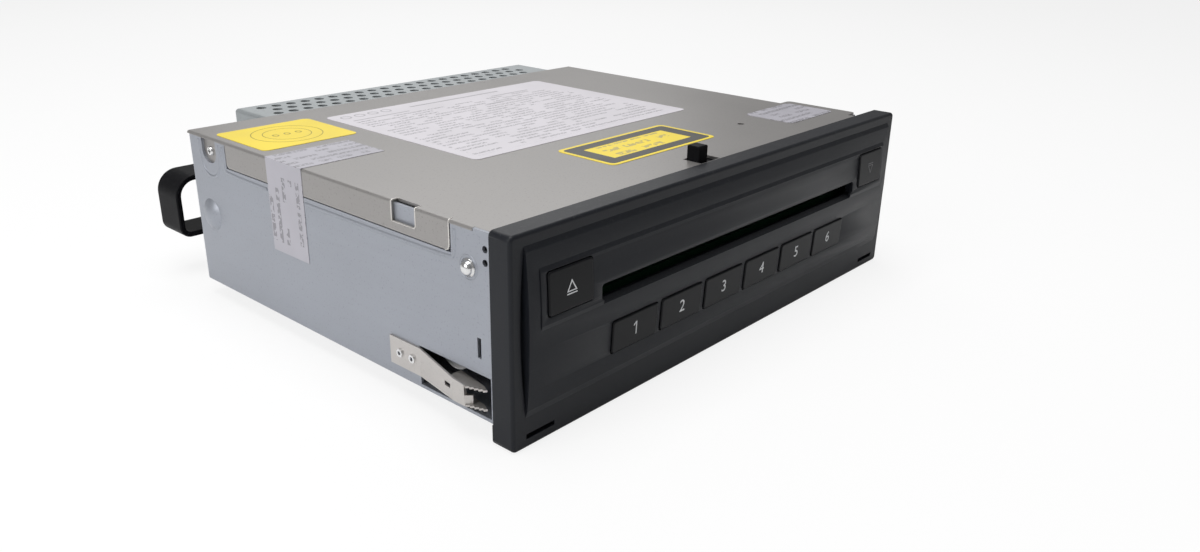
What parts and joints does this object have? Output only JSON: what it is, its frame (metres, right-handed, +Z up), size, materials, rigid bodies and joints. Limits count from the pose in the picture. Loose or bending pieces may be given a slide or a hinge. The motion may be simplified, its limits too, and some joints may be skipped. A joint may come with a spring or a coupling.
{
  "type": "car compact disc changer",
  "caption": "In-dash car disc changer: sheet-steel box with a black fascia, keys, disc slot and shutter, lifting tray stack, player, spring clips, rear vent box and pull loop",
  "frame": {"origin": "middle of the lip below the chassis, on the fascia's rear seating face, at half the fascia's width", "axes": "+X to the right as seen from the front, +Y to the back into the dashboard, +Z up"},
  "size_m": [0.1826, 0.1723, 0.0571],
  "materials": {
    "fascia_black": "fine-grained moulded black",
    "key_black": "smooth satin black",
    "loop_black": "satin black",
    "socket_black": "moulded black",
    "dark_plastic": "moulded dark grey",
    "grey_plastic": "moulded grey",
    "tray_plastic": "moulded dark grey",
    "white_acetal": "natural acetal",
    "switch_grey": "moulded",
    "board_green": "solder-masked board",
    "zinc_steel": "zinc-plated sheet",
    "lid_steel": "plated sheet, warm grey",
    "vent_steel": "plated sheet",
    "spring_steel": "bright spring sheet",
    "bright_steel": "bright zinc",
    "motor_steel": "plated can",
    "sled_metal": "die cast",
    "brass_gear": "turned brass",
    "roller_rubber": "matt rubber",
    "paper_white": "matt film",
    "paper_yellow": "matt film",
    "paper_seal": "matt film"
  },
  "bodies": {
    "changer_box": {"bezel": "fascia_black", "button_board": "board_green", "button_switches": "switch_grey", "small_screws": "bright_steel", "front_plate": "zinc_steel", "upper_disc_guide": "dark_plastic", "loading_motor": "motor_steel", "chassis_frame": "zinc_steel", "top_cover": "lid_steel", "bottom_cover": "zinc_steel", "rear_vent_box": "vent_steel", "rear_socket": "socket_black", "main_board": "board_green", "pull_loop": "loop_black", "right_clip_bracket": "zinc_steel", "clip_plates": "spring_steel", "clip_rivets": "bright_steel", "side_pins": "bright_steel", "white_label": "paper_white", "caution_label": "paper_yellow", "stamp_label": "paper_yellow", "seal_label": "paper_seal", "pale_label": "paper_seal", "slide_rails": "dark_plastic", "lift_motor": "motor_steel", "player_deck": "zinc_steel", "deck_dampers": "roller_rubber", "spindle_motor": "motor_steel", "guide_rods": "bright_steel", "sled_motor": "motor_steel"},
    "eject_button_cap": {"eject_button": "key_black"},
    "load_button_cap": {"load_button": "key_black"},
    "disc_button_1_cap": {"disc_button_1": "key_black"},
    "disc_button_2_cap": {"disc_button_2": "key_black"},
    "disc_button_3_cap": {"disc_button_3": "key_black"},
    "disc_button_4_cap": {"disc_button_4": "key_black"},
    "disc_button_5_cap": {"disc_button_5": "key_black"},
    "disc_button_6_cap": {"disc_button_6": "key_black"},
    "shutter": {"slot_shutter": "dark_plastic"},
    "feed_roller": {"roller_shaft": "bright_steel", "roller_sleeves": "roller_rubber", "roller_gear": "white_acetal"},
    "feed_idler": {"idler_gear": "white_acetal"},
    "feed_pinion": {"motor_pinion": "brass_gear"},
    "left_clip": {"left_clip_arm": "spring_steel"},
    "right_clip": {"right_clip_arm": "spring_steel"},
    "lock": {"lock_slider": "loop_black"},
    "lift_stack": {"lift_frame": "grey_plastic", "disc_tray_1": "tray_plastic", "disc_tray_2": "tray_plastic", "disc_tray_3": "tray_plastic", "disc_tray_4": "tray_plastic", "disc_tray_5": "tray_plastic", "disc_tray_6": "tray_plastic"},
    "left_cam": {"left_cam_slide": "white_acetal"},
    "right_cam": {"right_cam_slide": "white_acetal"},
    "lift_wheel": {"lift_gear": "white_acetal"},
    "platter": {"turntable": "dark_plastic"},
    "pickup": {"pickup_sled": "sled_metal"},
    "screw": {"lead_screw": "bright_steel"}
  },
  "joints": [
    {"name": "eject_press", "type": "slide", "parent": "changer_box", "child": "eject_button_cap", "axis": [0, 1, 0], "range_m": [0, 0.0008], "stiffness_N_per_m": 400, "springref_m": -0.0008},
    {"name": "load_press", "type": "slide", "parent": "changer_box", "child": "load_button_cap", "axis": [0, 1, 0], "range_m": [0, 0.0008], "stiffness_N_per_m": 400, "springref_m": -0.0008},
    {"name": "disc_press_1", "type": "slide", "parent": "changer_box", "child": "disc_button_1_cap", "axis": [0, 1, 0], "range_m": [0, 0.0008], "stiffness_N_per_m": 400, "springref_m": -0.0008},
    {"name": "disc_press_2", "type": "slide", "parent": "changer_box", "child": "disc_button_2_cap", "axis": [0, 1, 0], "range_m": [0, 0.0008], "stiffness_N_per_m": 400, "springref_m": -0.0008},
    {"name": "disc_press_3", "type": "slide", "parent": "changer_box", "child": "disc_button_3_cap", "axis": [0, 1, 0], "range_m": [0, 0.0008], "stiffness_N_per_m": 400, "springref_m": -0.0008},
    {"name": "disc_press_4", "type": "slide", "parent": "changer_box", "child": "disc_button_4_cap", "axis": [0, 1, 0], "range_m": [0, 0.0008], "stiffness_N_per_m": 400, "springref_m": -0.0008},
    {"name": "disc_press_5", "type": "slide", "parent": "changer_box", "child": "disc_button_5_cap", "axis": [0, 1, 0], "range_m": [0, 0.0008], "stiffness_N_per_m": 400, "springref_m": -0.0008},
    {"name": "disc_press_6", "type": "slide", "parent": "changer_box", "child": "disc_button_6_cap", "axis": [0, 1, 0], "range_m": [0, 0.0008], "stiffness_N_per_m": 400, "springref_m": -0.0008},
    {"name": "shutter_drop", "type": "slide", "parent": "changer_box", "child": "shutter", "axis": [0, 0, -1], "range_m": [0, 0.005]},
    {"name": "roller_spin", "type": "hinge", "parent": "changer_box", "child": "feed_roller", "pos_m": [0, 0.01, 0.0262], "axis": [1, 0, 0], "continuous": true},
    {"name": "idler_spin", "type": "hinge", "parent": "changer_box", "child": "feed_idler", "pos_m": [-0.0695, 0.01, 0.0152], "axis": [1, 0, 0], "continuous": true},
    {"name": "pinion_spin", "type": "hinge", "parent": "changer_box", "child": "feed_pinion", "pos_m": [-0.0695, 0.0185, 0.0152], "axis": [1, 0, 0], "continuous": true},
    {"name": "left_clip_press", "type": "hinge", "parent": "changer_box", "child": "left_clip", "pos_m": [-0.0895, 0.026, 0.0088], "axis": [0, 0, 1], "range_deg": [0, 8], "stiffness_Nm_per_rad": 0.5, "springref_deg": -2.86},
    {"name": "right_clip_press", "type": "hinge", "parent": "changer_box", "child": "right_clip", "pos_m": [0.0835, 0.026, 0.0088], "axis": [0, 0, -1], "range_deg": [0, 8], "stiffness_Nm_per_rad": 0.5, "springref_deg": -2.86},
    {"name": "lock_shift", "type": "slide", "parent": "changer_box", "child": "lock", "axis": [1, 0, 0], "range_m": [0, 0.0036]},
    {"name": "lift_rise", "type": "slide", "parent": "changer_box", "child": "lift_stack", "axis": [0, 0, 1], "range_m": [-0.0028, 0.013]},
    {"name": "left_cam_slide_move", "type": "slide", "parent": "changer_box", "child": "left_cam", "axis": [0, 1, 0], "range_m": [-0.0056, 0.026]},
    {"name": "right_cam_slide_move", "type": "slide", "parent": "changer_box", "child": "right_cam", "axis": [0, 1, 0], "range_m": [-0.0056, 0.026]},
    {"name": "lift_gear_turn", "type": "hinge", "parent": "changer_box", "child": "lift_wheel", "pos_m": [-0.064, 0.07, 0.0421], "axis": [1, 0, 0], "range_deg": [-60, 270]},
    {"name": "platter_spin", "type": "hinge", "parent": "changer_box", "child": "platter", "pos_m": [0, 0.0734, 0.0141], "axis": [0, 0, 1], "continuous": true},
    {"name": "pickup_travel", "type": "slide", "parent": "changer_box", "child": "pickup", "axis": [0, -1, 0], "range_m": [0, 0.033]},
    {"name": "screw_spin", "type": "hinge", "parent": "changer_box", "child": "screw", "pos_m": [0.026, 0.03, 0.01], "axis": [0, 1, 0], "range_deg": [0, 3962]}
  ],
  "couplings": [
    {"joint": "idler_spin", "follows": "roller_spin", "ratio": -0.83333},
    {"joint": "pinion_spin", "follows": "roller_spin", "ratio": 2},
    {"joint": "left_cam_slide_move", "follows": "lift_rise", "ratio": 2},
    {"joint": "right_cam_slide_move", "follows": "lift_rise", "ratio": 2},
    {"joint": "lift_gear_turn", "follows": "lift_rise", "rad_per_m": 357.14},
    {"joint": "screw_spin", "follows": "pickup_travel", "rad_per_m": 2094.4}
  ]
}
